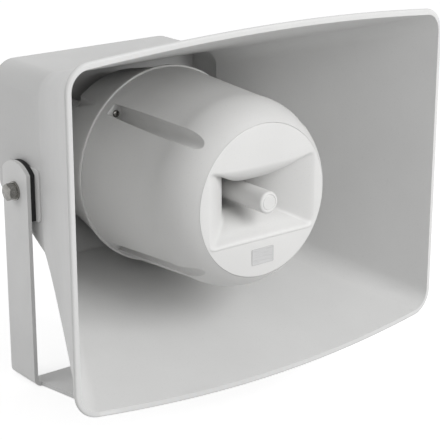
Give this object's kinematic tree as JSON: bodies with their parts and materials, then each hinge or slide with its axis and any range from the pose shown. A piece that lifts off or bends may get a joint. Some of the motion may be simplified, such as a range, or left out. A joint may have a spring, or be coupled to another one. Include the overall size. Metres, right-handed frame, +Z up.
{
  "type": "horn loudspeaker",
  "caption": "Weatherproof wide-range horn loudspeaker: rectangular re-entrant horn with a two-way driver barrel in its mouth, tilting in a steel stirrup bracket.",
  "frame": {"origin": "centre of the bracket's base on its underside, at the centre hole", "axes": "+Z up out of the base, -Y the way the horn fires, +X along the mouth's width"},
  "size_m": [0.4644, 0.369, 0.4297],
  "materials": {
    "horn_plastic": "fine moulded texture",
    "barrel_plastic": "smooth satin moulding",
    "bracket_paint": "powder coat",
    "steel": "plated",
    "brass": "machined",
    "black_rubber": "moulded",
    "cover_plastic": "fine moulded texture",
    "gland_plastic": "moulded nylon",
    "black_metal": "black paint",
    "ferrite": "sintered",
    "cone_paper": "coated pulp",
    "coil_former": "varnished",
    "laminations": "varnished laminations",
    "winding": "taped copper winding",
    "board": "coated board",
    "capacitor": "film capacitor sleeve",
    "terminal": "moulded"
  },
  "bodies": {
    "bracket": {"bracket": "bracket_paint"},
    "horn": {"horn_shell": "horn_plastic", "friction_pads": "black_rubber", "threaded_inserts": "brass", "flat_washers": "steel", "spring_washers": "steel", "pivot_bolts": "steel", "barrel_front": "barrel_plastic", "barrel_rear": "barrel_plastic", "barrel_seal": "black_rubber", "barrel_screws": "steel", "barrel_bolts": "steel", "tweeter_horn": "barrel_plastic", "phase_plug": "barrel_plastic", "tweeter_driver": "black_metal", "tweeter_screws": "steel", "woofer_basket": "black_metal", "surround": "black_rubber", "spider": "coil_former", "woofer_top_plate": "steel", "woofer_magnet": "ferrite", "woofer_pole_plate": "steel", "woofer_screws": "steel", "rear_cover": "cover_plastic", "cover_gasket": "black_rubber", "cover_screws": "steel", "cable_gland": "gland_plastic", "gland_dome": "gland_plastic", "gland_nut": "gland_plastic", "transformer_core": "laminations", "transformer_winding": "winding", "crossover_board": "board", "board_standoffs": "brass", "crossover_capacitor": "capacitor", "crossover_coil": "winding", "terminal_block": "terminal"},
    "cone": {"woofer_cone": "cone_paper", "dust_cap": "cone_paper", "voice_coil": "coil_former"}
  },
  "joints": [
    {"name": "horn_tilt", "type": "hinge", "parent": "bracket", "child": "horn", "pos_m": [0, 0.048, 0.222], "axis": [1, 0, 0], "range_deg": [-90, 18]},
    {"name": "cone_travel", "type": "slide", "parent": "horn", "child": "cone", "axis": [0, 1, 0], "range_m": [-0.004, 0.004], "stiffness_N_per_m": 1800, "deforming": ["surround", "spider"]}
  ]
}
